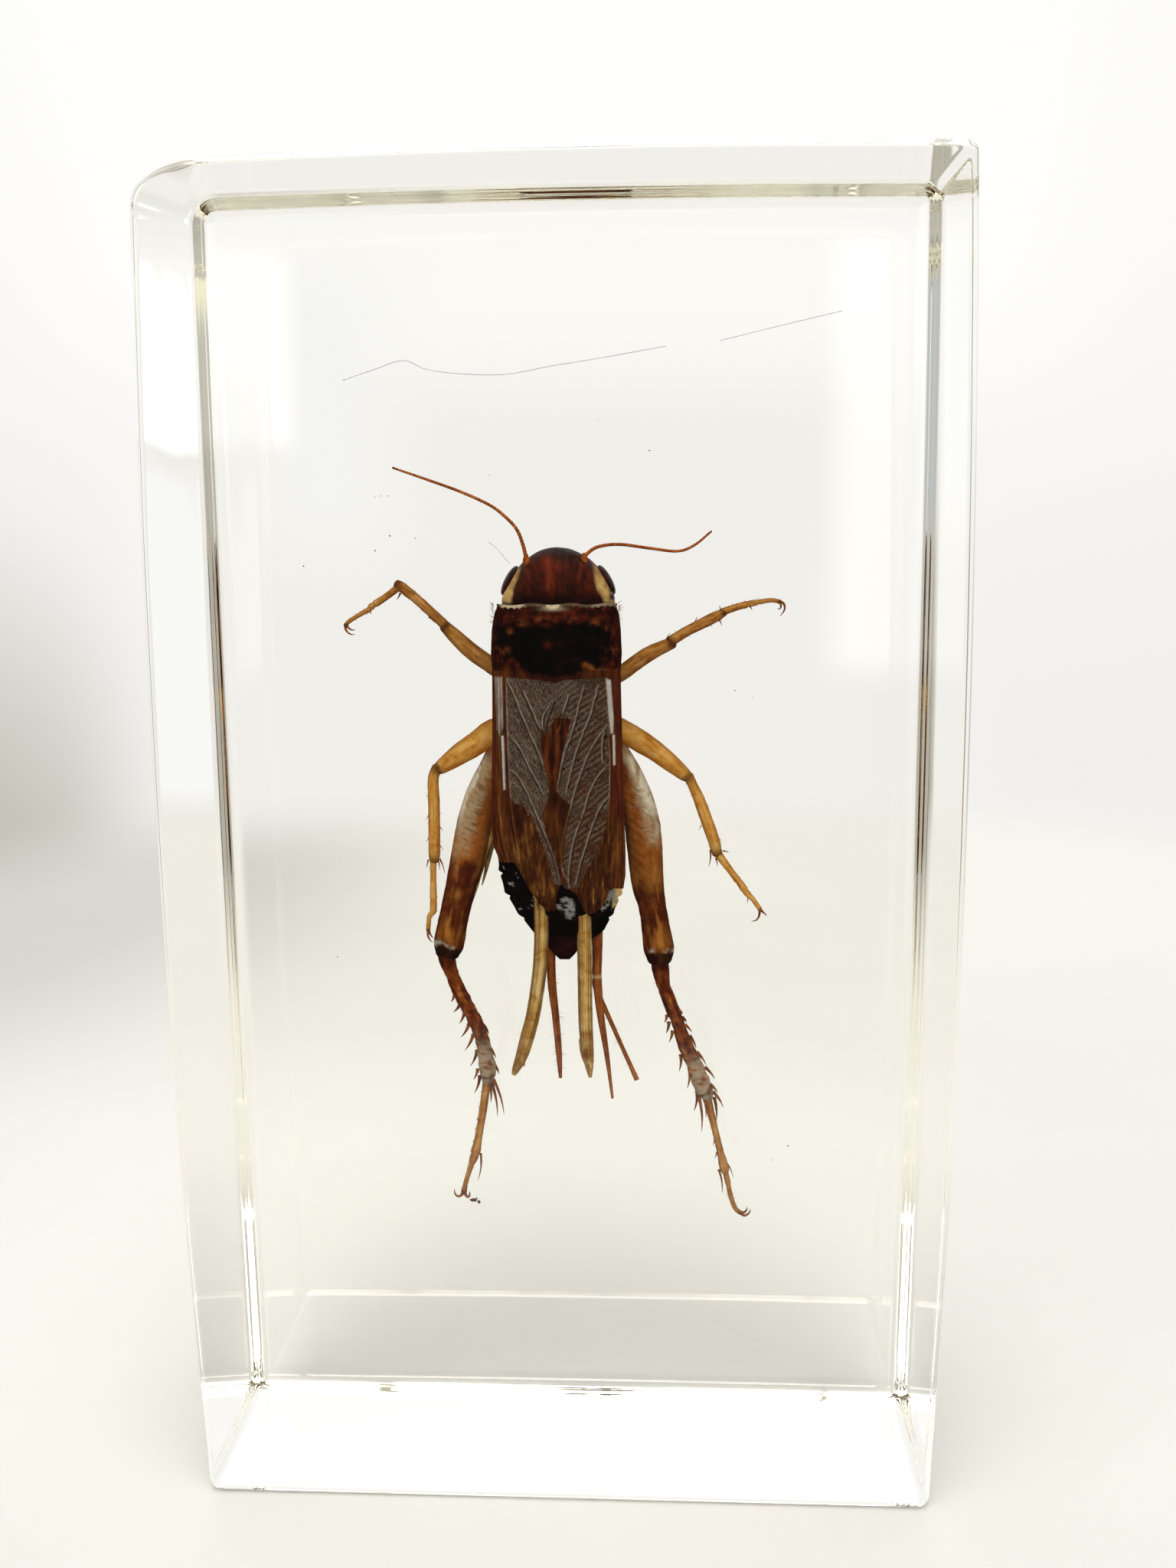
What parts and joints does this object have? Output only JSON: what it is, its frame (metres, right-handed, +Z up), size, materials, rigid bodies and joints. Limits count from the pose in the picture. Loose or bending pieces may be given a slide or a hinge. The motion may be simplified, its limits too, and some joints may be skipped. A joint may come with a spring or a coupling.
{
  "type": "insect in resin block",
  "caption": "Upright clear resin block with polished faces and softly rounded edges, made to hold a dried cricket sealed inside; stands on its flat bottom face.",
  "frame": {"origin": "middle of the block's flat resting face", "axes": "+Z up along the block's height, +Y from the front face to the back face, +X to the right seen from the front"},
  "size_m": [0.0428, 0.019, 0.0733],
  "materials": {
    "clear_resin": "polished, clear, very faintly yellow"
  },
  "bodies": {
    "root": {"resin_block": "clear_resin"}
  },
  "joints": []
}
